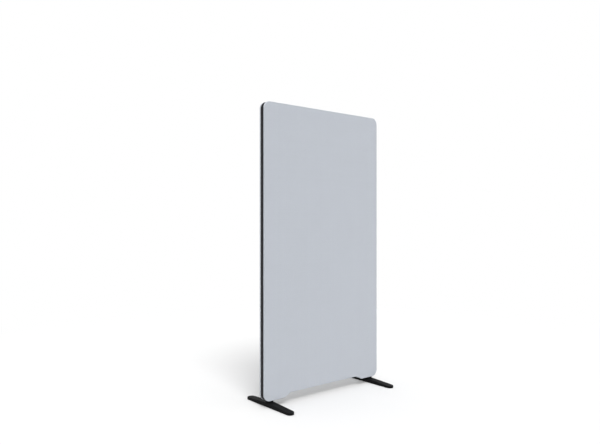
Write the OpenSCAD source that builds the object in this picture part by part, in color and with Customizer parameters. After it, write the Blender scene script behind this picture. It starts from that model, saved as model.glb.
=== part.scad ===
// Free-standing acoustic divider screen: an upholstered panel on two flat bar feet.
// Millimetres. X runs along the panel, Y from the front to the back, Z up.
// The origin is on the floor, under the middle of the panel.
// The panel is a dowelled timber frame filled with absorber. A felt board lies on each face of
// the frame, and a fabric cover is stretched over it. The hem of the cover runs down the edge of
// the frame into a groove, where the tongue of the black edge trim locks it.

/* [Panel] */
// Width of the upholstered panel
panel_w = 800; // [600:10:1200]
// Height of the upholstered panel above its lowest edge
panel_h = 1468; // [1000:1:1800]
// Radius of the four corners of the panel
corner_r = 35; // [30:1:60]
// Thickness of the felt board on each face
felt_t = 6; // [5:0.5:12]
// Thickness of the cover fabric
cover_t = 1; // [0.6:0.1:1.3]
// Radius of the soft edge round each face
edge_r = 1.5; // [1.4:0.1:5]
// Radius of the cover where it turns in beside the trim
turn_r = 1; // [0.8:0.1:1.8]

/* [Raised bottom edge] */
// Length of each low end of the bottom edge, from the side of the panel
low_run = 120; // [100:1:180]
// Length of each step up to the raised middle
step_run = 50; // [40:1:90]
// Height of the raised middle above the low ends
step_rise = 20; // [10:1:30]
// Radius of the two bends of a step
step_r = 18; // [16:1:20]

/* [Timber frame] */
// Thickness of the timber
frame_t = 24; // [18:1:30]
// Width of each stile
stile_w = 45; // [40:1:70]
// Height of the top rail
top_rail_h = 60; // [45:1:90]
// Height of the bottom rail at its low ends
bottom_rail_h = 90; // [70:1:120]
// Height of the middle rail
mid_rail_h = 45; // [36:1:80]
// Gap round each absorber slab
absorber_gap = 0.5; // [0.3:0.1:2]

/* [Dowels] */
// Diameter of a dowel
dowel_d = 8; // [6:1:10]
// Length of a dowel
dowel_l = 50; // [30:1:60]
// Distance between the two dowels of a joint
dowel_pitch = 22; // [16:1:24]
// Gap between a dowel and the wall of its hole
dowel_gap = 0.1; // [0.05:0.05:0.3]
// Glue space past each end of a dowel
dowel_end_gap = 1; // [0.5:0.5:3]

/* [Edge trim] */
// Thickness of the trim flange
trim_t = 2; // [1.5:0.1:3]
// Depth of the trim face below the edge of the cover
trim_recess = 0.5; // [0.2:0.1:1.5]
// Gap between the trim flange and the cover beside it
trim_gap = 0.2; // [0.1:0.1:0.6]
// Thickness of the trim tongue
tongue_t = 2; // [1.4:0.1:3]
// Depth of the trim tongue
tongue_d = 8; // [6:0.5:11]
// Height of the ribs that grip the hem
rib_h = 0.4; // [0.2:0.1:0.8]
// Width of a rib
rib_w = 1; // [0.5:0.1:1.5]
// Distance from one rib to the next
rib_pitch = 2.5; // [2:0.1:3]
// Gap between the tongue and what lies beside and below it
tongue_gap = 0.1; // [0.05:0.05:0.4]
// Space between the end of the tongue and the floor of the groove
groove_space = 2; // [1:0.5:4]

/* [Feet] */
// Length of a foot, front to back
foot_l = 356; // [300:1:450]
// Width of a foot
foot_w = 40; // [36:1:56]
// Thickness of a foot under the panel
foot_mid_t = 20; // [16:0.5:30]
// Thickness of a foot at its tips
foot_tip_t = 11; // [7:0.5:15]
// Radius of the top edge of a foot
foot_edge_r = 1.5; // [1:0.5:4]
// Length of the level land under the panel
land_l = 36; // [24:1:60]
// Distance from the end of the corner bend to the middle of the foot
foot_past_bend = 13; // [0:1:40]

/* [Foot pads] */
// Length of a rubber pad
pad_l = 50; // [30:1:80]
// Width of a rubber pad
pad_w = 24; // [16:1:30]
// Thickness of a rubber pad
pad_t = 2; // [1.5:0.5:4]
// Height by which a pad stands out of the foot
pad_proud = 1; // [0.5:0.1:1.4]
// Distance from the tip of the foot to its pad
pad_end = 12; // [8:1:40]
// Gap between a pad and the wall of its pocket
pad_gap = 0.2; // [0.1:0.1:0.5]

/* [Foot brackets and bolts] */
// Length of a bracket along the panel
bracket_l = 30; // [26:1:36]
// Depth of a bracket, front to back
bracket_d = 22; // [16:1:28]
// Height of a bracket
bracket_h = 11; // [6:1:20]
// Radius of the upright corners of a bracket
bracket_r = 2; // [1:0.5:6]
// Diameter of a bolt
bolt_d = 6; // [5:1:8]
// Length of a bolt above its washer
bolt_l = 44; // [38:1:50]
// Distance between the two bolts of a foot
bolt_pitch = 16; // [14:1:18]
// Diameter of a bolt head
head_d = 10; // [9:0.5:12]
// Height of a bolt head
head_h = 6; // [4:0.5:7]
// Distance across the flats of the socket in a bolt head
socket_w = 5; // [3:0.5:6]
// Depth of the socket in a bolt head
socket_depth = 3; // [2:0.5:4]
// Outer diameter of a washer
washer_d = 12; // [11:0.5:13]
// Thickness of a washer
washer_t = 1.6; // [1:0.1:2]
// Depth of the pocket for a bolt head
pocket_depth = 9; // [8:0.5:11]
// Gap round a bolt shank in the pieces that it passes through
bolt_gap = 0.2; // [0.1:0.1:0.5]
// Gap round a washer in its pocket
washer_gap = 0.5; // [0.2:0.1:1]
// Outer diameter of a threaded insert
insert_d = 9; // [8:0.5:12]
// Length of a threaded insert
insert_l = 20; // [12:1:30]
// Space past the end of a bolt
bolt_end_gap = 2; // [1:0.5:5]
// Gap between the bolt thread and the insert thread
thread_gap = 0.05; // [0.03:0.01:0.1]

/* [Hidden] */
$fn = 96;
// Overrun of a cut past the face that it opens
over = 1;

// Levels above the floor
foot_z = pad_proud;
land_z = foot_z + foot_mid_t;
panel_z = land_z + bracket_h;

// Distances inward from the outline of the panel
flange_in = trim_recess + trim_t;
frame_in = flange_in + cover_t;
tongue_in = flange_in + tongue_d;
groove_in = tongue_in + groove_space;
frame_z = panel_z + frame_in;

// Distances from the middle plane of the panel
frame_y = frame_t / 2;
lip_y = frame_y - cover_t;
flange_y = lip_y - trim_gap;
felt_y = frame_y + felt_t;
face_y = felt_y + cover_t;
tuck_y = tongue_t / 2 + rib_h + tongue_gap;
groove_y = tuck_y + cover_t;

// The step in the bottom edge: two bends of one radius with a straight slope between them
low_x = panel_w / 2 - low_run;
raised_x = low_x - step_run;
bend_drop = 2 * step_r - step_rise;
step_a = asin(2 * step_r / norm([step_run, bend_drop])) - atan(bend_drop / step_run);

// Edges of the timbers, from the middle of the panel and from its lowest edge
stile_x = panel_w / 2 - frame_in - stile_w;
top_joint = panel_h - frame_in - top_rail_h;
bottom_joint = frame_in + bottom_rail_h;
mid_joint = (top_joint + bottom_joint) / 2;
stile_mid = (stile_x + panel_w / 2 - groove_in) / 2;

foot_x = panel_w / 2 - corner_r - foot_past_bend;
head_z = foot_z + pocket_depth - washer_t;
bolt_top = head_z + washer_t + bolt_l;

fabric_grey = [0.76, 0.77, 0.80];
felt_grey = [0.55, 0.56, 0.58];
absorber_white = [0.88, 0.88, 0.85];
timber = [0.80, 0.66, 0.47];
beech = [0.87, 0.74, 0.55];
trim_black = [0.13, 0.13, 0.14];
coat_black = [0.10, 0.10, 0.11];
steel = [0.62, 0.63, 0.65];
brass = [0.78, 0.66, 0.35];
rubber = [0.05, 0.05, 0.05];

// Segments in each arc of the covers and felt boards
corner_steps = 10;
step_steps = 5;
edge_steps = 3;
turn_steps = 2;

// Points of an arc from one angle to another
function arc(centre, r, from, to, steps) =
    [for (i = [0:steps]) let (a = from + (to - from) * i / steps) centre + r * [cos(a), sin(a)]];

// The right half of the panel's outline drawn in by a distance, from the bottom to the top
function half_path(in) = concat(
    arc([raised_x, step_rise - step_r], step_r + in, 90, 90 - step_a, step_steps),
    arc([low_x, step_r], step_r - in, 270 - step_a, 270, step_steps),
    arc([panel_w / 2 - corner_r, corner_r], corner_r - in, 270, 360, corner_steps),
    arc([panel_w / 2 - corner_r, panel_h - corner_r], corner_r - in, 0, 90, corner_steps)
);

function path(in) = let (half = half_path(in)) concat(
    half,
    [for (i = [len(half) - 1:-1:0]) [-half[i].x, half[i].y]]
);

module both_sides() {
    children();
    mirror([1, 0, 0]) children();
}

module left_side() {
    mirror([1, 0, 0]) children();
}

module front_side() {
    mirror([0, 1, 0]) children();
}

module on_panel() {
    translate([0, 0, panel_z]) children();
}

module outline(in) {
    polygon(path(in));
}

// A rectangle between two corners
module area(lo, hi) {
    translate(lo) square(hi - lo);
}

// A solid from y0 to y1 whose 2D shape is drawn in X and Z
module slab(y0, y1) {
    translate([0, y1, 0]) rotate([90, 0, 0]) linear_extrude(y1 - y0) children();
}

// A band that follows the edge of the panel, between two distances inward
module band(in0, in1, y0, y1) {
    slab(y0, y1) difference() {
        outline(in0);
        outline(in1);
    }
}

// Faces that close one outline, seen from behind: the convex part above the lower corners, the
// middle strip, and a fan of triangles over each low end. The outline starts at the right end
// of the raised middle.
function cap_faces() = let (n = len(path(0)), side = 2 * step_steps + corner_steps + 2) concat(
    [[for (i = [side:n - 1 - side]) i], [0, side, n - 1 - side, n - 1]],
    [for (i = [0:side - 2]) [side, i, i + 1]],
    [for (i = [0:side - 2]) [n - 1 - side, n - 2 - i, n - 1 - i]]
);

function shifted(faces, by) = [for (f = faces) [for (i = f) i + by]];
function turned(faces) = [for (f = faces) [for (i = [len(f) - 1:-1:0]) f[i]]];

// A closed form whose surface passes through one outline for each point of a section. The
// points give the distance inward from the edge and the distance behind the middle plane.
module formed(section) {
    n = len(path(0));
    last = len(section) - 1;
    polyhedron(
        points = [for (s = section, p = path(s.x)) [p.x, s.y, p.y]],
        faces = concat(
            cap_faces(),
            [for (k = [0:last - 1], i = [0:n - 1]) let (j = (i + 1) % n)
                [k * n + j, k * n + i, (k + 1) * n + i, (k + 1) * n + j]],
            shifted(turned(cap_faces()), last * n)
        )
    );
}

// The stretches of the bottom edge where the groove stops for the bolts of a foot
module foot_zones() {
    both_sides() translate([foot_x - bracket_l / 2, -lip_y, flange_in])
        cube([bracket_l, 2 * lip_y, groove_in]);
}

// What stands on the axis of each bolt
module at_bolts() {
    both_sides() for (s = [-1, 1]) translate([foot_x + s * bolt_pitch / 2, 0, 0]) children();
}

module bolt_holes(z0, z1) {
    at_bolts() translate([0, 0, z0]) cylinder(d = bolt_d + 2 * bolt_gap, h = z1 - z0);
}

// Covers and felt boards, drawn on the rear side

felt_section = concat(
    arc([edge_r, felt_y - edge_r + cover_t], edge_r - cover_t, 90, 180, edge_steps),
    [[cover_t, frame_y]]
);

// Out over the soft edge, in beside the trim, down the frame into the groove, and back
cover_section = concat(
    arc([edge_r, face_y - edge_r], edge_r, 90, 180, edge_steps),
    arc([turn_r, lip_y + turn_r], turn_r, 180, 270, turn_steps),
    [
        [flange_in, lip_y], [flange_in, tuck_y], [tongue_in, tuck_y], [tongue_in, groove_y],
        [frame_in, groove_y], [frame_in, frame_y], [cover_t, frame_y]
    ],
    arc([edge_r, felt_y - edge_r + cover_t], edge_r - cover_t, 180, 90, edge_steps)
);

module cover() {
    color(fabric_grey) on_panel() difference() {
        formed(cover_section);
        foot_zones();
    }
}

module felt() {
    color(felt_grey) on_panel() formed(felt_section);
}

module front_cover() { front_side() cover(); }
module rear_cover() { cover(); }
module front_felt() { front_side() felt(); }
module rear_felt() { felt(); }

// Timber frame

module dowel_rod(gap, end_gap) {
    cylinder(d = dowel_d + 2 * gap, h = dowel_l + 2 * end_gap, center = true);
}

module at_corner_dowels() {
    both_sides() for (z = [top_joint, bottom_joint], s = [-1, 1])
        translate([stile_mid + s * dowel_pitch / 2, 0, z]) children();
}

module at_mid_dowels() {
    both_sides() for (s = [-1, 1])
        translate([stile_x, 0, mid_joint + s * dowel_pitch / 2]) rotate([0, 90, 0]) children();
}

module groove() {
    difference() {
        band(frame_in - over, groove_in, -groove_y, groove_y);
        foot_zones();
    }
}

// A timber cut from the outline of the frame between two corners
module timber(lo, hi) {
    color(timber) on_panel() difference() {
        slab(-frame_y, frame_y) intersection() {
            outline(frame_in);
            area(lo, hi);
        }
        groove();
        at_corner_dowels() dowel_rod(dowel_gap, dowel_end_gap);
        at_mid_dowels() dowel_rod(dowel_gap, dowel_end_gap);
        at_bolts() translate([0, 0, frame_in - over]) cylinder(d = insert_d, h = insert_l + over);
        bolt_holes(frame_in, bolt_top - panel_z + bolt_end_gap);
    }
}

module top_rail() { timber([-panel_w / 2, top_joint], [panel_w / 2, panel_h]); }
module bottom_rail() { timber([-panel_w / 2, 0], [panel_w / 2, bottom_joint]); }
module mid_rail() {
    timber([-stile_x, mid_joint - mid_rail_h / 2], [stile_x, mid_joint + mid_rail_h / 2]);
}
module left_stile() { timber([-panel_w / 2, bottom_joint], [-stile_x, top_joint]); }
module right_stile() { timber([stile_x, bottom_joint], [panel_w / 2, top_joint]); }

module corner_dowels() { color(beech) on_panel() at_corner_dowels() dowel_rod(0, 0); }
module mid_rail_dowels() { color(beech) on_panel() at_mid_dowels() dowel_rod(0, 0); }

// A slab of absorber between the stiles
module absorber(z0, z1) {
    color(absorber_white) on_panel() slab(-frame_y, frame_y)
        area([absorber_gap - stile_x, z0 + absorber_gap], [stile_x - absorber_gap, z1 - absorber_gap]);
}

module upper_absorber() { absorber(mid_joint + mid_rail_h / 2, top_joint); }
module lower_absorber() { absorber(bottom_joint, mid_joint - mid_rail_h / 2); }

// Edge trim

// The trim between two corners of the panel's outline
module trim(lo, hi) {
    color(trim_black) on_panel() difference() {
        intersection() {
            union() {
                band(trim_recess, flange_in, -flange_y, flange_y);
                band(flange_in, tongue_in, -tongue_t / 2, tongue_t / 2);
                for (k = [0:1]) let (in = tongue_in - k * rib_pitch)
                    band(in - rib_w, in, -tongue_t / 2 - rib_h, tongue_t / 2 + rib_h);
            }
            slab(-frame_y, frame_y) area(lo, hi);
        }
        foot_zones();
        bolt_holes(-over, flange_in + over);
    }
}

module top_edge_trim() { trim([-panel_w / 2, panel_h - corner_r], [panel_w / 2, panel_h]); }
module bottom_edge_trim() { trim([-panel_w / 2, 0], [panel_w / 2, corner_r]); }
module right_edge_trim() {
    trim([panel_w / 2 - corner_r, corner_r], [panel_w / 2, panel_h - corner_r]);
}
module left_edge_trim() { left_side() right_edge_trim(); }

// Feet, drawn on the right side

// A disc with a rounded top edge
module foot_tip() {
    rotate_extrude($fn = 48) polygon(concat(
        [[0, 0], [foot_w / 2, 0]],
        arc([foot_w / 2 - foot_edge_r, foot_tip_t - foot_edge_r], foot_edge_r, 0, 90, edge_steps),
        [[0, foot_tip_t]]
    ));
}

// The level land under the panel, with rounded top edges
module foot_land() {
    translate([-foot_w / 2, -land_l / 2, 0]) cube([foot_w, land_l, foot_mid_t - foot_edge_r]);
    for (s = [-1, 1])
        translate([s * (foot_w / 2 - foot_edge_r), 0, foot_mid_t - foot_edge_r])
            rotate([90, 0, 0]) cylinder(r = foot_edge_r, h = land_l, center = true, $fn = 24);
}

// The two pads of a foot, or with a gap the pockets that hold them
module pad_shape(gap, height) {
    for (s = [-1, 1]) translate([foot_x, s * (foot_l / 2 - pad_end - pad_l / 2), 0])
        linear_extrude(height) {
            square([pad_w + 2 * gap, pad_l - pad_w], center = true);
            for (e = [-1, 1]) translate([0, e * (pad_l - pad_w) / 2]) circle(pad_w / 2 + gap);
        }
}

module foot() {
    color(coat_black) difference() {
        translate([foot_x, 0, foot_z]) hull() {
            for (s = [-1, 1]) translate([0, s * (foot_l - foot_w) / 2, 0]) foot_tip();
            foot_land();
        }
        bolt_holes(0, land_z + over);
        at_bolts() cylinder(d = washer_d + 2 * washer_gap, h = foot_z + pocket_depth);
        pad_shape(pad_gap, pad_t);
    }
}

// A rectangle with round corners, centred
module round_rect(size, r) {
    square([size.x - 2 * r, size.y], center = true);
    square([size.x, size.y - 2 * r], center = true);
    for (sx = [-1, 1], sy = [-1, 1])
        translate([sx * (size.x / 2 - r), sy * (size.y / 2 - r)]) circle(r);
}

// A block with a raised seat that meets the face of the trim, between the two covers
module bracket() {
    color(coat_black) difference() {
        translate([foot_x, 0, land_z]) {
            linear_extrude(bracket_h) round_rect([bracket_l, bracket_d], bracket_r);
            linear_extrude(bracket_h + trim_recess)
                round_rect([bracket_l, min(bracket_d, 2 * flange_y)], bracket_r);
        }
        bolt_holes(land_z - over, panel_z + trim_recess + over);
    }
}

module pads() { color(rubber) pad_shape(0, pad_t); }

module right_foot() { foot(); }
module left_foot() { left_side() foot(); }
module right_foot_bracket() { bracket(); }
module left_foot_bracket() { left_side() bracket(); }
module right_foot_pads() { pads(); }
module left_foot_pads() { left_side() pads(); }

// Fasteners

module foot_inserts() {
    color(brass) at_bolts() translate([0, 0, frame_z]) difference() {
        cylinder(d = insert_d, h = insert_l);
        translate([0, 0, -over]) cylinder(d = bolt_d + 2 * thread_gap, h = insert_l + 2 * over);
    }
}

module foot_bolts() {
    color(steel) at_bolts() translate([0, 0, head_z]) difference() {
        union() {
            cylinder(d = bolt_d, h = bolt_top - head_z);
            translate([0, 0, -head_h]) cylinder(d = head_d, h = head_h);
        }
        translate([0, 0, -head_h - over])
            cylinder(d = socket_w / cos(30), h = socket_depth + over, $fn = 6);
    }
}

module foot_bolt_washers() {
    color(steel) at_bolts() translate([0, 0, head_z]) difference() {
        cylinder(d = washer_d, h = washer_t);
        translate([0, 0, -over]) cylinder(d = bolt_d + 2 * bolt_gap, h = washer_t + 2 * over);
    }
}

front_cover();
rear_cover();
front_felt();
rear_felt();
top_rail();
bottom_rail();
mid_rail();
left_stile();
right_stile();
corner_dowels();
mid_rail_dowels();
upper_absorber();
lower_absorber();
top_edge_trim();
left_edge_trim();
right_edge_trim();
bottom_edge_trim();
left_foot();
right_foot();
left_foot_bracket();
right_foot_bracket();
foot_inserts();
foot_bolts();
foot_bolt_washers();
left_foot_pads();
right_foot_pads();
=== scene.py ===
import math

import bmesh
import bpy
import numpy as np
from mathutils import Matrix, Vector, noise


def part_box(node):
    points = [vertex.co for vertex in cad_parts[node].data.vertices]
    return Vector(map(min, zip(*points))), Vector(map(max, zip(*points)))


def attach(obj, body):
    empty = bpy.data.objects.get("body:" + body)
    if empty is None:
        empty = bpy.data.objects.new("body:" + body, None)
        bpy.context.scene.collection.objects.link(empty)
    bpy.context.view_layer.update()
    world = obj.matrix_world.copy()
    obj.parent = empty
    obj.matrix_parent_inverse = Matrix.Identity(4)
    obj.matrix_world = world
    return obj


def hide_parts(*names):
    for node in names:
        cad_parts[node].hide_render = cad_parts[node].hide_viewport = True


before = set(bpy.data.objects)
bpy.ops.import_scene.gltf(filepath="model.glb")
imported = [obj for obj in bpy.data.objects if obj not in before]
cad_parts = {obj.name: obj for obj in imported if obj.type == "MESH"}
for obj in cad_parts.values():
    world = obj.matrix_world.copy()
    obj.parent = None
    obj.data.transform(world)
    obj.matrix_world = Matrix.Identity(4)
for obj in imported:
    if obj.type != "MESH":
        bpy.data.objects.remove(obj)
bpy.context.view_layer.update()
MM = 0.001

# Sizes in millimetres, with the names that they have in the CAD model. A name that ends in IN is a
# distance inward from the edge of the panel, and one that ends in Z is a height over the floor.

# Panel
PANEL_W = 800.0
PANEL_H = 1468.0
CORNER_R = 35.0
FELT_T = 6.0
COVER_T = 1.0
EDGE_R = 1.5  # soft edge round each face
TURN_R = 1.0  # where the cover turns in beside the trim
FRAME_T = 24.0

# Raised lower edge: a low run at each end, a step with two bends, and the longer middle
LOW_RUN = 120.0
STEP_RUN = 50.0
STEP_RISE = 20.0
STEP_R = 18.0
LOW_X = PANEL_W / 2 - LOW_RUN
RAISED_X = LOW_X - STEP_RUN
BEND_DROP = 2 * STEP_R - STEP_RISE
BEND_SLANT = math.hypot(STEP_RUN, BEND_DROP)
STEP_A = math.degrees(math.asin(2 * STEP_R / BEND_SLANT) - math.atan(BEND_DROP / STEP_RUN))

# Edge trim
TRIM_T = 2.0
TRIM_RECESS = 0.5
TRIM_GAP = 0.2
TONGUE_T = 2.0
TONGUE_D = 8.0
TONGUE_GAP = 0.1
GROOVE_SPACE = 2.0
RIB_H = 0.4
RIB_W = 1.0
RIB_PITCH = 2.5

# Feet, pads and brackets
FOOT_L = 356.0
FOOT_W = 40.0
FOOT_MID_T = 20.0
FOOT_TIP_T = 11.0
FOOT_EDGE_R = 1.5
FOOT_PAST_BEND = 13.0
LAND_L = 36.0
PAD_L = 50.0
PAD_W = 24.0
PAD_T = 2.0
PAD_PROUD = 1.0
PAD_END = 12.0
PAD_GAP = 0.2
BRACKET_L = 30.0
BRACKET_D = 22.0
BRACKET_H = 11.0
BRACKET_R = 2.0
BOLT_PITCH = 16.0
BOLT_HOLE = 6.4
WASHER_HOLE = 13.0
POCKET_DEPTH = 9.0

# Levels above the floor
FOOT_Z = PAD_PROUD
LAND_Z = FOOT_Z + FOOT_MID_T
PANEL_Z = LAND_Z + BRACKET_H

# Distances inward from the edge of the panel
FLANGE_IN = TRIM_RECESS + TRIM_T
FRAME_IN = FLANGE_IN + COVER_T
TONGUE_IN = FLANGE_IN + TONGUE_D
GROOVE_IN = TONGUE_IN + GROOVE_SPACE

# Distances from the middle plane of the panel
FRAME_Y = FRAME_T / 2
LIP_Y = FRAME_Y - COVER_T
FLANGE_Y = LIP_Y - TRIM_GAP
FELT_Y = FRAME_Y + FELT_T
FACE_Y = FELT_Y + COVER_T
TUCK_Y = TONGUE_T / 2 + RIB_H + TONGUE_GAP
GROOVE_Y = TUCK_Y + COVER_T

# Places along the panel, and along a foot
FOOT_X = PANEL_W / 2 - CORNER_R - FOOT_PAST_BEND
FOOT_RUN = (FOOT_L - FOOT_W) / 2  # half of a foot's straight side
PAD_Y = FOOT_L / 2 - PAD_END - PAD_L / 2

# Fineness of the meshes: steps in an arc, and the longest step on a straight
CORNER_STEPS = 18
STEP_STEPS = 10
COVER_EDGE_STEPS = 9
TURN_STEPS = 6
FELT_EDGE_STEPS = 6
TRIM_EDGE_STEPS = 4
CIRCLE_STEPS = 48
TIP_STEPS = 32
FOOT_EDGE_STEPS = 7
PAD_END_STEPS = 20
BRACKET_CORNER_STEPS = 8
BRACKET_EDGE_STEPS = 4
STRAIGHT_STEP = 10.0

# Measures of the mesh work
NEAR = 0.001  # closer than this, two places are the same
OVER = 1.0  # overrun of a cut past the face that it opens
SOFT_CREASE = 50.0  # faces that meet at more degrees than this have a sharp edge between them
HARD_CREASE = 38.0
LOOSE_CREASE = 60.0


# Lines in the plane
def arc(cx, cy, r, start, end, steps):
    """Points on an arc, from one angle to another in degrees."""
    a = np.radians(np.linspace(start, end, steps + 1))
    return np.stack([cx + r * np.cos(a), cy + r * np.sin(a)], 1)


def bend(cx, cy, r, start, end, steps):
    """An arc as a list of pairs, to be joined to other lists."""
    return [tuple(point) for point in arc(cx, cy, r, start, end, steps)]


def circle(cx, cy, d):
    return arc(cx, cy, d / 2, 0, 360, CIRCLE_STEPS)[:-1]


def stadium(cx, cy, width, length):
    """A closed line with round ends, its width in X and its length in Y."""
    r, run = width / 2, (length - width) / 2
    rear = bend(cx, cy + run, r, 0, 180, PAD_END_STEPS)
    return rear + bend(cx, cy - run, r, 180, 360, PAD_END_STEPS)


def round_rect(cx, cy, w, d, r):
    """A rectangle with round corners."""
    x, y = w / 2 - r, d / 2 - r
    line = []
    for sx, sy, start in ((1, 1, 0), (-1, 1, 90), (-1, -1, 180), (1, -1, 270)):
        line += bend(cx + sx * x, cy + sy * y, r, start, start + 90, BRACKET_CORNER_STEPS)
    return line


def ease(start, end, value):
    """0 before start and 1 after end, with a smooth rise between them."""
    t = np.clip((value - start) / (end - start), 0, 1)
    return t * t * (3 - 2 * t)


# Outline of the panel
class Outline:
    """The panel's edge seen from the front, drawn in by any distance.

    A station is the number of a point on it, and is the same at every distance.
    """

    def __init__(self):
        x = PANEL_W / 2 - CORNER_R
        # The bends of the right half, upward: centre, radius, first and last angle, steps.
        # A hollow bend has its radius below zero, since it grows where the others shrink.
        self.bends = [
            (RAISED_X, STEP_RISE - STEP_R, -STEP_R, 90, 90 - STEP_A, STEP_STEPS),
            (LOW_X, STEP_R, STEP_R, 270 - STEP_A, 270, STEP_STEPS),
            (x, CORNER_R, CORNER_R, 270, 360, CORNER_STEPS),
            (x, PANEL_H - CORNER_R, CORNER_R, 0, 90, CORNER_STEPS),
        ]
        self.straights = []  # the number of steps on the straight after each bend
        for here, after in self.neighbours(0.0):
            length = np.linalg.norm(after[0] - here[-1])
            self.straights.append(max(1, round(length / STRAIGHT_STEP)))
        self.edge = self.at(0.0)
        before, after = np.roll(self.edge, 1, 0), np.roll(self.edge, -1, 0)
        ahead = after - before
        ahead /= np.linalg.norm(ahead, axis=1)[:, None]
        self.normal = np.stack([ahead[:, 1], -ahead[:, 0]], 1)  # out of the panel
        step = np.linalg.norm(after - self.edge, axis=1)
        self.along = np.concatenate([[0], np.cumsum(step)[:-1]])

    def neighbours(self, inward):
        """Each bend with the next one, round the whole panel."""
        right = [arc(x, z, abs(r - inward), start, end, n) for x, z, r, start, end, n in self.bends]
        left = [line[::-1] * (-1, 1) for line in right[::-1]]
        return zip(right + left, right[1:] + left + right[:1])

    def at(self, inward):
        """The whole line, drawn in by a distance."""
        line = []
        for (here, after), steps in zip(self.neighbours(inward), self.straights):
            t = np.linspace(0, 1, steps + 1)[1:-1, None]
            line += [here, here[-1] + (after[0] - here[-1]) * t]
        return np.concatenate(line)


OUTLINE = Outline()


def ring_at(line, y):
    """A line of the panel's face as a ring in space, at a depth y that may change along it."""
    return np.stack([line[:, 0], np.zeros(len(line)) + y, line[:, 1] + PANEL_Z], 1)


# Meshes
def new_object(name, data):
    ob = bpy.data.objects.new(name, data)
    bpy.context.scene.collection.objects.link(ob)
    return ob


def from_points(name, points, faces, cloth=None):
    """An object from points in metres. cloth gives each point its place on the flat cloth."""
    mesh = bpy.data.meshes.new(name)
    mesh.from_pydata([tuple(p) for p in points], [], faces)
    if cloth is not None:
        layer = mesh.uv_layers.new(name="cloth")
        corners = np.zeros(len(mesh.loops), np.int32)
        mesh.loops.foreach_get("vertex_index", corners)
        layer.data.foreach_set("uv", np.asarray(cloth, np.float32)[corners].ravel())
    mesh.validate()
    return new_object(name, mesh)


def face_outward(ob):
    bm = bmesh.new()
    bm.from_mesh(ob.data)
    bmesh.ops.recalc_face_normals(bm, faces=bm.faces)
    bm.to_mesh(ob.data)
    bm.free()


def smooth(ob, crease, weighted=True):
    """Shades an object smooth, apart from its sharp edges."""
    mesh = ob.data
    mesh.polygons.foreach_set("use_smooth", [True] * len(mesh.polygons))
    mesh.set_sharp_from_angle(angle=math.radians(crease))
    if weighted:
        ob.modifiers.new("normals", "WEIGHTED_NORMAL").keep_sharp = True
    return ob


def side_faces(n, rings):
    """The faces between rings of n points each."""
    faces = []
    for k in range(rings - 1):
        for i in range(n):
            j = (i + 1) % n
            faces.append((k * n + i, k * n + j, (k + 1) * n + j, (k + 1) * n + i))
    return faces


def rings_solid(name, rings, cloth=None):
    """A closed solid through rings of the same count, with a flat face at each end."""
    n = len(rings[0])
    last = (len(rings) - 1) * n
    ends = [tuple(range(n))[::-1], tuple(range(last, last + n))]
    points = np.concatenate(rings) * MM
    ob = from_points(name, points, ends + side_faces(n, len(rings)), cloth)
    face_outward(ob)
    return ob


def prism(line, low, high):
    """An upright solid over a closed line in X and Y."""
    return rings_solid("cutter", [[(x, y, z) for x, y in line] for z in (low, high)])


def cut(ob, cutters):
    """Takes the cutters out of an object, and removes them."""
    for cutter in cutters:
        modifier = ob.modifiers.new("cut", "BOOLEAN")
        modifier.operation = "DIFFERENCE"
        modifier.solver = "EXACT"
        modifier.object = cutter
    depsgraph = bpy.context.evaluated_depsgraph_get()
    mesh = bpy.data.meshes.new_from_object(
        ob.evaluated_get(depsgraph), preserve_all_data_layers=True, depsgraph=depsgraph
    )
    ob.modifiers.clear()
    ob.data = mesh
    for cutter in cutters:
        bpy.data.objects.remove(cutter)


# Cutters that more than one piece needs
def bracket_room(side):
    """The stretch of the lower edge where tongue and hems stop for the bolts of a foot."""
    x, z = side * FOOT_X, PANEL_Z + FLANGE_IN
    points = [
        (a * MM, b * MM, c * MM)
        for a in (x - BRACKET_L / 2, x + BRACKET_L / 2)
        for b in (-LIP_Y, LIP_Y)
        for c in (z, z + GROOVE_IN)
    ]
    faces = [(0, 1, 3, 2), (4, 6, 7, 5), (0, 4, 5, 1), (2, 3, 7, 6), (0, 2, 6, 4), (1, 5, 7, 3)]
    return from_points("cutter", points, faces)


def bolt_line(side, d, low, high):
    """Two round cutters, one for each bolt of a foot."""
    x = side * FOOT_X
    return [prism(circle(x + s * BOLT_PITCH / 2, 0, d), low, high) for s in (-1, 1)]


# Fabric covers
FLAT_IN = 15.0  # further in than this a face is flat
FACE_RINGS = [FLAT_IN, 12.0, 9.0, 6.5, 4.5, 3.0]
PULL = 0.06  # how far the stretched cloth stands proud at the edge, on average
LONG_WAVE = (55.0, 3.1, 7.7)  # its length along the edge, and where in the noise it is read
SHORT_WAVE = (19.0, 9.2, 4.4)
SHORT_SHARE = 0.5
TURN_SHARE = 0.4  # share of the pull where the cloth turns in beside the trim
PULL_OUTWARD = (FACE_Y, FACE_Y - 4.0)  # depths where the pull outward starts, and is whole
PULL_FORWARD = (FACE_Y - 5.5, FACE_Y - 0.5)  # the same for the pull forward


def cover_outside():
    """The outer skin in section: face, soft edge, turn beside the trim, and hem in the groove."""
    line = [(inward, FACE_Y) for inward in FACE_RINGS]
    line += bend(EDGE_R, FACE_Y - EDGE_R, EDGE_R, 90, 180, COVER_EDGE_STEPS)
    line += bend(TURN_R, LIP_Y + TURN_R, TURN_R, 180, 270, TURN_STEPS)
    line += [(FLANGE_IN, LIP_Y), (FLANGE_IN, (LIP_Y + TUCK_Y) / 2)]
    return line + [(FLANGE_IN, TUCK_Y), (TONGUE_IN, TUCK_Y)]


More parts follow.
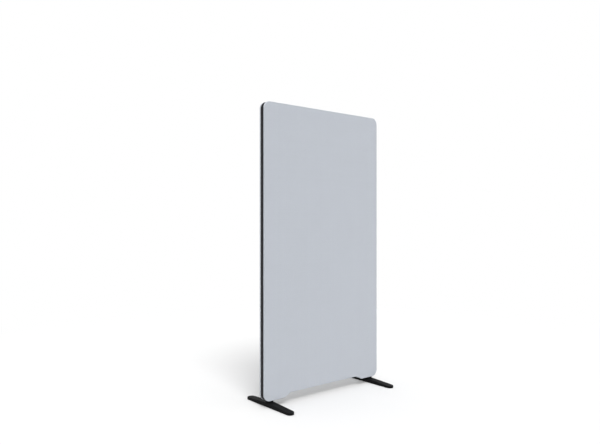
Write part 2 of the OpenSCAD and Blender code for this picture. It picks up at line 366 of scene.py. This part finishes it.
def cover_inside():
    """The inner skin in section, from the hem back to the face."""
    r = EDGE_R - COVER_T
    line = [(TONGUE_IN, GROOVE_Y), (FRAME_IN, GROOVE_Y), (FRAME_IN, FRAME_Y), (COVER_T, FRAME_Y)]
    line += bend(EDGE_R, FELT_Y - r, r, 180, 90, FELT_EDGE_STEPS)
    return line + [(FLAT_IN, FELT_Y)]


def run_on_cloth(outside, inside):
    """For each point of the section, how far past the edge of the face it is on the flat cloth."""
    run = [0.0]
    for a, b in zip(outside, outside[1:]):
        run.append(run[-1] + math.dist(a, b))
    edge = run[len(FACE_RINGS)]
    run = [distance - edge for distance in run]
    # The inner skin goes back from the end of the hem, and its bend counts as the edge.
    run.append(run[-1])
    for a, b in zip(inside[:3], inside[1:4]):
        run.append(run[-1] - math.dist(a, b))
    return run + [0.0] * (FELT_EDGE_STEPS + 1) + [EDGE_R - FLAT_IN]


def edge_pull(side):
    """How far the cloth stands proud at each station, in two waves along the edge."""

    def wave(along, length, y, z):
        return noise.noise(Vector((along / length, y, z * side)))

    uneven = [wave(t, *LONG_WAVE) + SHORT_SHARE * wave(t, *SHORT_WAVE) for t in OUTLINE.along]
    return PULL + PULL * np.array(uneven)


def cover(name, side):
    """A cloth skin over a felt board, proud by a hair where the hem pulls less on it."""
    outside, inside = cover_outside(), cover_inside()
    hem = len(outside) - 3  # from here on the skin is held, and doesn't move with the pull
    pull = edge_pull(side)
    face_edge = OUTLINE.at(EDGE_R)
    rings = []
    cloth = []
    runs = run_on_cloth(outside, inside)
    for k, (inward, y) in enumerate(outside + inside):
        share = 1.0 if y > LIP_Y + TURN_R else TURN_SHARE
        if k >= hem:
            share = 0.0
        lift = pull * ease(FLAT_IN, FACE_RINGS[-1], inward) * share
        outward = lift * ease(*PULL_OUTWARD, y)
        line = OUTLINE.at(inward) + OUTLINE.normal * outward[:, None]
        rings.append(ring_at(line, side * (y + lift * ease(*PULL_FORWARD, y))))
        cloth.append((face_edge + OUTLINE.normal * runs[k]) * MM)
    ob = rings_solid(name, rings, np.concatenate(cloth))
    cut(ob, [bracket_room(s) for s in (-1, 1)])
    return smooth(ob, SOFT_CREASE)


# Felt boards and absorber slabs
FELT_RINGS = [FLAT_IN, 8.0, 4.0]
BREAK = 0.3  # small break at the board's edge on the frame
BREAK_MID = 0.1  # the point halfway along it
SLAB_CUTS = ((0, 44), (2, 40), (1, 5))  # axis, and cuts along it
SLAB_EDGE = 1.2  # how far the edges of a slab sink
SIDE_SINK = 0.5  # how far its sides sink at most, uneven
FACE_SINK = (0.25, 0.2)  # how far its faces sink, the even and the uneven part
LUMP = np.array([9.0, 5.0, 9.0])  # size of the unevenness


def felt(name, side):
    """A felt board, with a soft edge on its face and a small break on its back."""
    r = EDGE_R - COVER_T
    section = [(inward, FELT_Y) for inward in FELT_RINGS]
    section += bend(EDGE_R, FELT_Y - r, r, 90, 180, FELT_EDGE_STEPS)
    section += [(COVER_T, FRAME_Y + BREAK), (COVER_T + BREAK_MID, FRAME_Y + BREAK_MID)]
    section += [(COVER_T + BREAK, FRAME_Y), (FLAT_IN, FRAME_Y)]
    rings = [ring_at(OUTLINE.at(inward), side * y) for inward, y in section]
    return smooth(rings_solid(name, rings), SOFT_CREASE)


def spans(edge, axis):
    """Whether an edge goes from one face of the unit cube to the opposite one, along an axis."""
    way = edge.verts[0].co - edge.verts[1].co
    return abs(way[axis]) > 1.0 - NEAR


def absorber(name, node):
    """A slab of loose fibre with soft edges and an uneven skin, inside its CAD box."""
    low, high = [np.array(corner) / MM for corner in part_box(node)]
    half, middle = (high - low) / 2, (high + low) / 2
    bm = bmesh.new()
    bmesh.ops.create_cube(bm, size=1.0)
    for axis, cuts in SLAB_CUTS:
        edges = [edge for edge in bm.edges if spans(edge, axis)]
        bmesh.ops.subdivide_edges(bm, edges=edges, cuts=cuts, use_grid_fill=True)
    for vert in bm.verts:
        spot = np.array(vert.co) * 2 * half
        on_face = half - np.abs(spot) < NEAR
        lump = noise.noise(Vector(spot / LUMP)) / 2 + 0.5  # from 0 to 1
        sink = np.array([SIDE_SINK * lump, FACE_SINK[0] + FACE_SINK[1] * lump, SIDE_SINK * lump])
        if on_face.sum() > 1:
            sink += SLAB_EDGE
        vert.co = Vector((spot - np.sign(spot) * on_face * sink + middle) * MM)
    mesh = bpy.data.meshes.new(name)
    bm.to_mesh(mesh)
    bm.free()
    ob = new_object(name, mesh)
    face_outward(ob)
    return smooth(ob, LOOSE_CREASE, weighted=False)


# Edge trim
TRIM_EDGE_R = 0.35
TRIM_HOLD = 2.0  # flat stretch beside the rounded edge of the band
RIB_SHARES = (0.4, 0.1)  # where a rib's crest starts and ends, as shares of its width
BUTT_GAP = 0.12  # how far each end of a strip stays back from the next strip


def trim_section():
    """The band and its ribbed tongue in section, as (inward, y). One half mirrors the other."""
    r = TRIM_EDGE_R
    half = [(TRIM_RECESS, 0.0), (TRIM_RECESS, FLANGE_Y - r - TRIM_HOLD)]
    half += bend(TRIM_RECESS + r, FLANGE_Y - r, r, 180, 90, TRIM_EDGE_STEPS)
    foot, crest = TONGUE_T / 2, TONGUE_T / 2 + RIB_H
    half += [(FLANGE_IN, FLANGE_Y), (FLANGE_IN, foot)]
    for end in (TONGUE_IN - RIB_PITCH, TONGUE_IN):
        half += [(end - RIB_W, foot)]
        half += [(end - RIB_W * share, crest) for share in RIB_SHARES]
        if end < TONGUE_IN:
            half += [(end, foot)]
    half += [(TONGUE_IN, foot + RIB_H / 2), (TONGUE_IN, 0.0)]
    return half + [(inward, -y) for inward, y in half[-2:0:-1]]


def trim_strip(name, stations):
    """The trim along a run of stations, with a hairline butt joint at each end."""
    section = trim_section()
    lines = [ring_at(OUTLINE.at(inward), y) for inward, y in section]
    rings = [np.array([line[station] for line in lines]) for station in stations]
    for end, inside in ((0, 1), (-1, -2)):
        way = rings[inside] - rings[end]
        way /= np.linalg.norm(way, axis=1)[:, None]
        rings[end] = rings[end] + way * BUTT_GAP
    return rings_solid(name, rings)


def in_order(marked):
    """The marked stations in order round the outline. They have to be one run."""
    n = len(marked)
    start = next(i for i in range(n) if marked[i] and not marked[i - 1])
    return [(start + i) % n for i in range(np.count_nonzero(marked))]


def strip_stations():
    """The stations of each trim strip. The strips meet on the sides, where the corners end."""
    x, z = OUTLINE.edge.T
    low, high = CORNER_R, PANEL_H - CORNER_R
    side = (z > low - NEAR) & (z < high + NEAR)
    return {
        "top": in_order(z > high - NEAR),
        "left": in_order(side & (x < 0)),
        "right": in_order(side & (x > 0)),
        "bottom": in_order(z < low + NEAR),
    }


# Feet and brackets
LOW_EDGE_R = 0.6  # round of a foot's lower edge
LOW_EDGE_MID = 0.18  # the point halfway along it
TOP_HOLD = 1.0  # flat stretch beside the rounded top edge
LAND_HOLD = 3.0  # distance of a station to each side of where the land ends
SLOPE_SHARES = (0.33, 0.66)  # stations on the slope, as shares of FOOT_RUN
BRACKET_EDGE_R = 0.5
SEAT_IN = 0.1  # how much the seat of a bracket is drawn in from the rounded edge
HAIR = 0.02  # left open under the covers and under the trim


def foot_stations():
    """Places along the straight side of a foot, closest where the land ends."""
    land = LAND_L / 2
    half = [land - LAND_HOLD, land, land + LAND_HOLD] + [FOOT_RUN * share for share in SLOPE_SHARES]
    return [-y for y in half[::-1]] + [0.0] + half


def foot_top(y):
    """The height of a foot's top: level under the panel, then a slope to the tip."""
    slope = (np.abs(y) - LAND_L / 2) / (FOOT_L / 2 - FOOT_EDGE_R - LAND_L / 2)
    return FOOT_MID_T - (FOOT_MID_T - FOOT_TIP_T) * np.clip(slope, 0, 1)


def foot_ring(inset, drop=None, level=None):
    """The plan of a foot drawn in by inset, at a drop below the sloped top or at a level."""
    r = FOOT_W / 2 - inset
    stations = foot_stations()
    plan = [(r, y) for y in stations] + bend(0, FOOT_RUN, r, 0, 180, TIP_STEPS)
    plan += [(-r, y) for y in stations[::-1]] + bend(0, -FOOT_RUN, r, 180, 360, TIP_STEPS)
    return [(x, y, level if drop is None else foot_top(y) + FOOT_Z - drop) for x, y in plan]


def foot_lid(first):
    """Faces over the ring that starts at point first.

    They are strips across the foot, so that the three planes of its top stay true.
    """
    counts = [len(foot_stations()), TIP_STEPS + 1] * 2
    starts = first + np.cumsum([0] + counts[:-1])
    right, rear, left, front = [list(range(a, a + n)) for a, n in zip(starts, counts)]
    left = left[::-1]
    faces = [(right[i], right[i + 1], left[i + 1], left[i]) for i in range(len(right) - 1)]
    return faces + [(right[-1], *rear, left[-1]), (left[0], *front, right[0])]


def foot(name, side):
    """A flat cast bar, with room for two bolts and two pads."""
    x = side * FOOT_X
    rings = [foot_ring(LOW_EDGE_R, level=FOOT_Z)]
    rings.append(foot_ring(LOW_EDGE_MID, level=FOOT_Z + LOW_EDGE_MID))
    rings.append(foot_ring(0.0, level=FOOT_Z + LOW_EDGE_R))
    r = FOOT_EDGE_R
    rings += [foot_ring(inset, drop) for inset, drop in bend(r, r, r, 180, 270, FOOT_EDGE_STEPS)]
    rings.append(foot_ring(r + TOP_HOLD, 0.0))
    n = len(rings[0])
    faces = [tuple(range(n))[::-1]] + side_faces(n, len(rings)) + foot_lid((len(rings) - 1) * n)
    ob = from_points(name, (np.concatenate(rings) + (x, 0, 0)) * MM, faces)
    face_outward(ob)
    cutters = bolt_line(side, BOLT_HOLE, -OVER, LAND_Z + OVER)
    cutters += bolt_line(side, WASHER_HOLE, -OVER, FOOT_Z + POCKET_DEPTH)
    for s in (-1, 1):
        room = stadium(x, s * PAD_Y, PAD_W + 2 * PAD_GAP, PAD_L + 2 * PAD_GAP)
        cutters.append(prism(room, -OVER, PAD_T))
    cut(ob, cutters)
    return smooth(ob, HARD_CREASE)


def bracket(name, side):
    """The small block over a foot, with a raised seat that meets the trim between the covers."""

    def ring(inset, z):
        w, d = BRACKET_L - 2 * inset, BRACKET_D - 2 * inset
        return [(x, y, z) for x, y in round_rect(side * FOOT_X, 0, w, d, BRACKET_R - inset)]

    r = BRACKET_EDGE_R
    edge = bend(r, 0, r, 180, 90, BRACKET_EDGE_STEPS)
    top = PANEL_Z + TRIM_RECESS
    rings = [ring(0, LAND_Z)]
    rings += [ring(inset, PANEL_Z - r + rise) for inset, rise in edge[:-1]]
    rings += [ring(r, PANEL_Z - HAIR), ring(r + SEAT_IN, PANEL_Z)]
    rings.append(ring(r + SEAT_IN, top - HAIR))
    ob = rings_solid(name, rings)
    cut(ob, bolt_line(side, BOLT_HOLE, LAND_Z - OVER, top + OVER))
    return smooth(ob, HARD_CREASE)


# Node trees
class Output:
    """What a node puts out. A sum of outputs is written as a sum, and adds the nodes for it."""

    def __init__(self, nodes, socket):
        self.nodes = nodes
        self.socket = socket

    def __add__(self, other):
        return self.nodes.operate("ADD", self, other)

    def __sub__(self, other):
        return self.nodes.operate("SUBTRACT", self, other)

    def __rsub__(self, other):
        return self.nodes.operate("SUBTRACT", other, self)

    def __mul__(self, other):
        return self.nodes.operate("MULTIPLY", self, other)

    def __truediv__(self, other):
        return self.nodes.operate("DIVIDE", self, other)

    def __mod__(self, other):
        return self.nodes.operate("FLOORED_MODULO", self, other)

    def __pow__(self, other):
        return self.nodes.operate("POWER", self, other)


class Nodes:
    """Short calls that add nodes to one tree. A value is a number, a tuple or an Output."""

    def __init__(self, tree):
        self.tree = tree
        tree.nodes.clear()

    def node(self, kind, inputs, **settings):
        """A node with its settings, and its inputs by name or number."""
        node = self.tree.nodes.new("ShaderNode" + kind)
        for name, value in settings.items():
            setattr(node, name, value)
        for name, value in inputs.items():
            if isinstance(value, Output):
                self.tree.links.new(value.socket, node.inputs[name])
            elif value is not None:
                node.inputs[name].default_value = value
        return node

    def out(self, kind, inputs, output=0, **settings):
        """One output of a new node."""
        return Output(self, self.node(kind, inputs, **settings).outputs[output])

    def math(self, operation, *values, clamp=False):
        return self.out("Math", dict(enumerate(values)), operation=operation, use_clamp=clamp)

    def operate(self, operation, a, b):
        """One operation on two numbers or on two vectors. A plain number scales a vector."""
        if not isinstance(a, Output) or a.socket.type == "VALUE":
            return self.math(operation, a, b)
        if isinstance(b, float):
            return self.scaled(a, b)
        return self.out("VectorMath", {0: a, 1: b}, operation=operation)

    def scaled(self, vector, factor):
        return self.out("VectorMath", {0: vector, "Scale": factor}, operation="SCALE")

    def split(self, vector):
        """The three numbers of a vector."""
        return [Output(self, socket) for socket in self.node("SeparateXYZ", {0: vector}).outputs]

    def coordinate(self, kind):
        return self.out("TexCoord", {}, kind)

    def noise(self, vector, scale=1.0, detail=2.0, rough=0.5, output="Fac"):
        inputs = {"Vector": vector, "Scale": scale, "Detail": detail, "Roughness": rough}
        return self.out("TexNoise", inputs, output)

    def remap(self, value, source, target=(0.0, 1.0), shape="LINEAR"):
        """The value moved from one range into another, and kept inside it."""
        inputs = dict(enumerate((value, *source, *target)))
        return self.out("MapRange", inputs, interpolation_type=shape)

    def between(self, low, high, share):
        """low where the share is 0, high where it is 1."""
        return share * (high - low) + low

    def mix(self, share, a, b):
        """Colour a, with a share of colour b."""
        return self.out("Mix", {0: share, 6: a, 7: b}, 2, data_type="RGBA")

    def bump(self, height, depth, strength, normal=None):
        inputs = {"Height": height, "Distance": depth, "Strength": strength, "Normal": normal}
        return self.out("Bump", inputs)

    def background_seen(self):
        """1 for a ray that shows the background: from the camera, a reflection or through glass."""
        rays = self.node("LightPath", {}).outputs
        seen = Output(self, rays["Is Camera Ray"])
        for name in ("Is Glossy Ray", "Is Transmission Ray"):
            seen = self.math("MAXIMUM", seen, Output(self, rays[name]))
        return seen


class Material(Nodes):
    """The nodes of a new material."""

    sockets = {
        "colour": "Base Color",
        "rough": "Roughness",
        "metal": "Metallic",
        "normal": "Normal",
        "spec": "Specular IOR Level",
        "sheen": "Sheen Weight",
        "sheen_rough": "Sheen Roughness",
        "sheen_tint": "Sheen Tint",
    }

    def __init__(self, name):
        self.material = bpy.data.materials.new(name)
        self.material.use_nodes = True
        super().__init__(self.material.node_tree)

    def principled(self, **values):
        """Ends the material in a Principled shader with these values."""
        shader = self.out("BsdfPrincipled", {self.sockets[name]: v for name, v in values.items()})
        return self.surface(shader)

    def surface(self, shader):
        self.node("OutputMaterial", {"Surface": shader})
        return self.material


# Materials. Lengths are in metres, and the scale of a noise counts its waves in a metre.
HALF = (0.5, 0.5, 0.5)  # the middle of a noise colour
WEAVE = 0.0011  # from one yarn to the next
WANDER = 0.0007  # how far a yarn strays from its line
YARN_SIDE = 0.55  # height of a yarn at the edge of the one that it crosses, against its crown
FUZZ = 0.35  # height of the loose hairs, against that of a yarn
SWIRL = 9.0  # how far the fibres of the felt stray, in waves of their noise
LONG_GRAIN = 0.045  # how much slower the look of timber changes along its grain
BOLT_THREAD, INSERT_THREAD = 0.001, 0.0024  # pitch
SHANK_Z = (0.0245, 0.0255)  # between these heights the bolt thread starts


def srgb(*levels):
    """A colour written in levels of 0 to 255."""
    shares = [level / 255 for level in levels]
    return (*[x / 12.92 if x <= 0.04045 else ((x + 0.055) / 1.055) ** 2.4 for x in shares], 1.0)


def times(colour, factor):
    return (*[x * factor for x in colour[:3]], 1.0)


def fabric_material(name, grey):
    """Plain weave of slightly heathered yarn, drawn on the flat cloth, with painted shade between
    the yarns.
    """
    m = Material(name)
    cloth = m.out("UVMap", {}, uv_map="cloth")
    wander = m.noise(cloth, 140.0, output="Color") - HALF
    across, along, _ = m.split(cloth + wander * WANDER)
    warp_yarn, weft_yarn = [m.math("FLOOR", x / WEAVE) for x in (across, along)]
    warp_round, weft_round = [
        m.math("SINE", m.math("FRACT", x / WEAVE) * math.pi) for x in (across, along)
    ]
    over = (warp_yarn + weft_yarn) % 2.0

    def woven(warp, weft):
        """The value of the yarn that lies on top: warp where over is 1, weft where it is 0."""
        return warp * over + weft * (1.0 - over)

    def dye(yarn, shift):
        """A random level for each yarn."""
        number = m.out("CombineXYZ", {0: yarn, 1: shift})
        return m.out("TexWhiteNoise", {"Vector": number}, "Value")

    height = woven(
        warp_round * m.between(YARN_SIDE, 1.0, weft_round),
        weft_round * m.between(YARN_SIDE, 1.0, warp_round),
    )
    tone = woven(dye(warp_yarn, 3.0), dye(weft_yarn, 8.0))
    heather = woven(
        m.noise(cloth * (90.0, 900.0, 1.0), detail=3.0),
        m.noise(cloth * (900.0, 90.0, 1.0), detail=3.0),
    )
    cloud = m.noise(cloth, 9.0, detail=3.0, rough=0.55)
    # Brighter on the crown of each yarn and darker in the dips between yarns: painted shade, on top
    # of each yarn's own random tone.
    level = m.between(0.9, 0.94, tone) + height * 0.11
    level = level + m.between(-0.08, 0.08, heather) + m.between(-0.015, 0.015, cloud)
    fuzz = m.noise(cloth, 5200.0, detail=3.0, rough=0.7)
    return m.principled(
        colour=m.scaled(grey[:3], level),
        rough=m.between(0.8, 0.96, fuzz),
        normal=m.bump(height + fuzz * FUZZ, depth=0.00022, strength=0.8),
        spec=0.12,
        sheen=0.1,
        sheen_rough=0.5,
        sheen_tint=(0.9, 0.93, 1.0, 1.0),
    )


def felt_material(name, dark, light):
    """Pressed felt: fibres that lie two ways, and stray."""
    m = Material(name)
    p = m.coordinate("Object")

    def fibres(stretch, stray):
        spot = p * stretch + m.noise(p, stray, output="Color") * SWIRL
        return m.noise(spot, detail=5.0, rough=0.7)

    upright, lying = fibres((500.0, 500.0, 60.0), 40.0), fibres((60.0, 500.0, 500.0), 31.0)
    fibre = m.math("MAXIMUM", upright, lying)
    return m.principled(
        colour=m.mix(m.remap(fibre, (0.4, 0.75)), dark, light),
        rough=m.between(0.86, 0.96, fibre),
        normal=m.bump(fibre, depth=0.0005, strength=0.8),
        spec=0.1,
        sheen=0.2,
    )


def absorber_material(name, dark, light):
    """Loose fibre in layers, with fine strands."""
    m = Material(name)
    p = m.coordinate("Object")
    bent = p + m.noise(p, 22.0, detail=3.0, output="Color") * 0.02
    layer = m.noise(bent * (70.0, 900.0, 70.0), detail=6.0, rough=0.65)
    strand = m.noise(bent * (1500.0, 1500.0, 260.0), detail=4.0, rough=0.75)
    fibre = layer * 0.6 + strand * 0.4
    return m.principled(
        colour=m.mix(m.remap(fibre, (0.35, 0.7)), dark, light),
        rough=m.between(0.9, 0.98, fibre),
        normal=m.bump(fibre, depth=0.0009, strength=0.9),
        spec=0.08,
        sheen=0.25,
    )


def timber_material(name, axis, light, dark, ring, fineness):
    """Timber with its grain along an axis, and one year's growth from ring to ring."""
    m = Material(name)
    p = m.coordinate("Object")
    stretch = [1.0] * 3
    stretch[axis] = LONG_GRAIN
    fine_stretch = [2600.0 * fineness] * 3
    fine_stretch[axis] = 55.0
    q = p * tuple(stretch)
    sway = (m.noise(q, 26.0, output="Color") - HALF) * 0.016
    one, other = [x for i, x in enumerate(m.split(q + sway)) if i != axis]
    growth = m.math("FRACT", (one * 0.62 + other * 0.9) / ring)
    late = growth ** 2.6
    fine = m.noise(p * tuple(fine_stretch), detail=3.0, rough=0.6)
    streak = m.noise(q * 60.0, detail=3.0)
    share = late * 0.55 + m.between(-0.05, 0.25, fine) + m.between(-0.15, 0.25, streak)
    return m.principled(
        colour=m.mix(share, light, dark),
        rough=m.remap(fine, (0.2, 0.8), (0.5, 0.72)),
        normal=m.bump(fine * 0.7 + late * 0.3, depth=0.00012, strength=0.7),
        spec=0.3,
    )


def coat_material(name, black):
    """Matt powder coat: orange peel, a fine grain, and faint rubs."""
    m = Material(name)
    p = m.coordinate("Object")
    peel = m.noise(p, 900.0)
    grain = m.noise(p, 4200.0, detail=3.0, rough=0.6)
    rub = m.noise(p * (60.0, 14.0, 60.0), detail=6.0, rough=0.68)
    worn = m.remap(rub, (0.62, 0.78))
    colour = m.mix(worn, black, times(black, 1.7))
    colour = m.mix(m.noise(p, 30.0) * 0.3, colour, times(black, 0.6))
    return m.principled(
        colour=colour,
        rough=m.between(0.6, 0.74, grain) + worn * -0.06,
        normal=m.bump(peel * 0.7 + grain * 0.3, depth=0.00012, strength=0.6),
        spec=0.08,
    )


def trim_material(name, black):
    """Extruded matt plastic: fine lines along the strip and a faint grain."""
    m = Material(name)
    p = m.coordinate("Object")
    grain = m.noise(p, 2600.0, detail=3.0, rough=0.6)
    lines = m.noise(p * (6.0, 2400.0, 6.0))
    cloud = m.remap(m.noise(p, 18.0, detail=3.0), (0.35, 0.7))
    return m.principled(
        colour=m.mix(cloud, times(black, 0.85), times(black, 1.2)),
        rough=m.remap(grain, (0.2, 0.8), (0.55, 0.72)),
        normal=m.bump(grain * 0.6 + lines * 0.4, depth=0.00006, strength=0.6),
        spec=0.2,
    )


def steel_material(name, grey):
    """Zinc plate, with a rolled thread on the upper part of the bolts."""
    m = Material(name)
    p = m.coordinate("Object")
    spangle = m.out("TexVoronoi", {"Vector": p, "Scale": 700.0}, "Distance")
    fine = m.noise(p, 1800.0, detail=3.0)
    z = m.split(p)[2]
    thread = m.math("PINGPONG", z / BOLT_THREAD, 0.5) * m.remap(z, SHANK_Z)
    normal = m.bump(thread, depth=0.0005, strength=0.9)
    return m.principled(
        colour=m.mix(m.remap(fine, (0.3, 0.7)), times(grey, 0.85), times(grey, 1.1)),
        rough=m.remap(spangle, (0.0, 0.8), (0.25, 0.42)),
        metal=1.0,
        normal=m.bump(fine, depth=0.00003, strength=0.5, normal=normal),
    )


def brass_material(name, yellow):
    """Turned brass with an outer thread."""
    m = Material(name)
    p = m.coordinate("Object")
    fine = m.noise(p * (900.0, 900.0, 5000.0), detail=3.0)
    thread = m.math("PINGPONG", m.split(p)[2] / INSERT_THREAD, 0.5)
    normal = m.bump(thread, depth=0.001, strength=0.9)
    tarnish = m.remap(m.noise(p, 260.0, detail=3.0), (0.35, 0.7))
    return m.principled(
        colour=m.mix(tarnish, yellow, times(yellow, 0.72)),
        rough=m.remap(fine, (0.2, 0.8), (0.24, 0.4)),
        metal=1.0,
        normal=m.bump(fine, depth=0.00003, strength=0.5, normal=normal),
    )


def rubber_material(name, black):
    """Moulded rubber with a fine grain and some dust."""
    m = Material(name)
    p = m.coordinate("Object")
    grain = m.noise(p, 2200.0, detail=3.0, rough=0.65)
    dust = m.remap(m.noise(p, 120.0, detail=4.0, rough=0.6), (0.5, 0.75), (0.0, 0.6))
    return m.principled(
        colour=m.mix(dust, black, times(black, 3.0)),
        rough=m.remap(grain, (0.2, 0.8), (0.78, 0.95)),
        normal=m.bump(grain, depth=0.0001, strength=0.7),
        spec=0.25,
    )


PINE = {"light": srgb(226, 197, 152), "dark": srgb(184, 138, 84), "ring": 0.0042, "fineness": 1.0}
BEECH = {"light": srgb(224, 188, 146), "dark": srgb(190, 144, 100), "ring": 0.0016, "fineness": 1.4}
FABRIC = fabric_material("fabric", srgb(200, 205, 213))
FELT = felt_material("felt", srgb(112, 114, 118), srgb(176, 178, 182))
WOOL = absorber_material("fibre_slab", srgb(188, 184, 172), srgb(238, 236, 228))
PINE_X = timber_material("pine_along_x", 0, **PINE)
PINE_Z = timber_material("pine_along_z", 2, **PINE)
BEECH_X = timber_material("beech_along_x", 0, **BEECH)
BEECH_Z = timber_material("beech_along_z", 2, **BEECH)
TRIM = trim_material("trim_plastic", srgb(26, 25, 29))
COAT = coat_material("powder_coat", srgb(20, 20, 21))
STEEL = steel_material("zinc_steel", srgb(196, 198, 200))
BRASS = brass_material("brass", srgb(206, 172, 98))
RUBBER = rubber_material("rubber", srgb(24, 24, 25))


# Pieces
def place(ob, material, slot, *nodes):
    """Gives a piece its material, puts it under the root body, and hides the CAD nodes that it
    stands for.
    """
    ob.data.materials.append(material)
    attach(ob, "root")
    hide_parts(*nodes)
    return ob


for side, word in ((-1, "front"), (1, "rear")):
    board = place(felt(word + "_felt_board", side), FELT, "felt_board", word + "_felt")
    cloth = place(cover(word + "_cover_fabric", side), FABRIC, "cover_fabric", word + "_cover")

for word in ("upper", "lower"):
    slab = absorber(word + "_absorber_slab", word + "_absorber")
    place(slab, WOOL, "absorber", word + "_absorber")

for word, stations in strip_stations().items():
    strip = trim_strip(word + "_trim_strip", stations)
    if word == "bottom":
        cutters = []
        for side in (-1, 1):
            cutters.append(bracket_room(side))
            cutters += bolt_line(side, BOLT_HOLE, PANEL_Z - OVER, PANEL_Z + FLANGE_IN + OVER)
        cut(strip, cutters)
    place(smooth(strip, HARD_CREASE), TRIM, "edge_trim", word + "_edge_trim")

for side, word in ((-1, "left"), (1, "right")):
    place(foot(word + "_foot_bar", side), COAT, "foot_coat", word + "_foot")
    place(bracket(word + "_foot_block", side), COAT, "foot_coat", word + "_foot_bracket")

KEPT_NODES = {
    "top_rail": PINE_X,
    "bottom_rail": PINE_X,
    "mid_rail": PINE_X,
    "left_stile": PINE_Z,
    "right_stile": PINE_Z,
    "corner_dowels": BEECH_Z,
    "mid_rail_dowels": BEECH_X,
    "foot_inserts": BRASS,
    "foot_bolts": STEEL,
    "foot_bolt_washers": STEEL,
    "left_foot_pads": RUBBER,
    "right_foot_pads": RUBBER,
}
for node, material in KEPT_NODES.items():
    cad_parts[node].data.materials[0] = material

# Floor, light and camera. Lengths are in metres.
DOME, DOME_POWER = 2.036, 9.43  # light that is brightest overhead
BAND, BAND_POWER = 2.9, 12.0  # a low band of light all round
EVEN = 0.539  # the same from everywhere above the floor
KEY = 0.644  # one soft lamp from the front left
KEY_WIDTH = 24.4  # degrees
KEY_WAY = (0.2754, 0.5539, -0.7857)
FLOOR_BOUNCE = 0.19  # grey of the floor for the light that it throws on the object
FLOOR_SEEN = 0.72  # grey of the floor as it is seen
FLOOR_HALF = 40.0
FADE = (1.0, 3.2)  # the floor goes over to white between these distances
LENS, SENSOR = 35.07, 36.0  # millimetres
HORIZON_SHIFT = 0.4 / 600  # pixels, over the width of the picture
CAMERA_AT = (-2.0887, -2.3044, 0.9072)
CAMERA_TURN = -39.96  # degrees
CLIP = (0.05, 200.0)
WHITE = (1.0, 1.0, 1.0, 1.0)


def plain_grey(level):
    return (level, level, level, 1.0)


def light_room(scene):
    """Plain soft light from above the horizon. Where it is seen, the background is white."""
    world = bpy.data.worlds.new("studio")
    world.use_nodes = True
    scene.world = world
    n = Nodes(world.node_tree)
    height = n.split(n.coordinate("Generated"))[2]
    up = n.math("MAXIMUM", height, 0.0, clamp=True)
    dome = up ** DOME_POWER * DOME
    low = (1.0 - up) ** BAND_POWER * BAND + EVEN
    above = n.math("GREATER_THAN", height, 0.0)
    light = n.out("Background", {"Color": WHITE, "Strength": low * above + dome})
    white = n.out("Background", {"Color": WHITE, "Strength": 1.0})
    mixed = n.out("MixShader", {0: n.background_seen(), 1: light, 2: white})
    n.node("OutputWorld", {"Surface": mixed})


def floor_material():
    """Pale grey that keeps the shadow of the object, and fades to white far from it."""
    m = Material("floor")
    seen = m.background_seen()
    tone = m.mix(seen, plain_grey(FLOOR_BOUNCE), plain_grey(FLOOR_SEEN))
    distance = m.out("VectorMath", {0: m.coordinate("Object")}, "Value", operation="LENGTH")
    far = m.remap(distance, FADE, shape="SMOOTHSTEP")
    matt = m.out("BsdfDiffuse", {"Color": tone})
    glow = m.out("Emission", {})
    return m.surface(m.out("MixShader", {0: far * seen, 1: matt, 2: glow}))


def lay_floor():
    half = FLOOR_HALF
    corners = [(-half, -half, 0), (half, -half, 0), (half, half, 0), (-half, half, 0)]
    floor = from_points("floor", corners, [(0, 1, 2, 3)])
    floor.data.materials.append(floor_material())


def hang_key():
    key = bpy.data.lights.new("key", "SUN")
    key.energy = KEY * math.pi
    key.angle = math.radians(KEY_WIDTH)
    ob = new_object("key", key)
    ob.rotation_euler = Vector(KEY_WAY).to_track_quat("-Z", "Y").to_euler()


def set_camera(scene):
    """The camera of the photograph, level at the height of its horizon."""
    camera = bpy.data.cameras.new("camera")
    camera.lens, camera.sensor_width = LENS, SENSOR
    camera.shift_y = HORIZON_SHIFT
    camera.clip_start, camera.clip_end = CLIP
    ob = new_object("camera", camera)
    ob.location = CAMERA_AT
    ob.rotation_euler = (math.radians(90), 0, math.radians(CAMERA_TURN))
    scene.camera = ob


scene = bpy.context.scene
scene.view_settings.view_transform = "Standard"
light_room(scene)
lay_floor()
hang_key()
set_camera(scene)
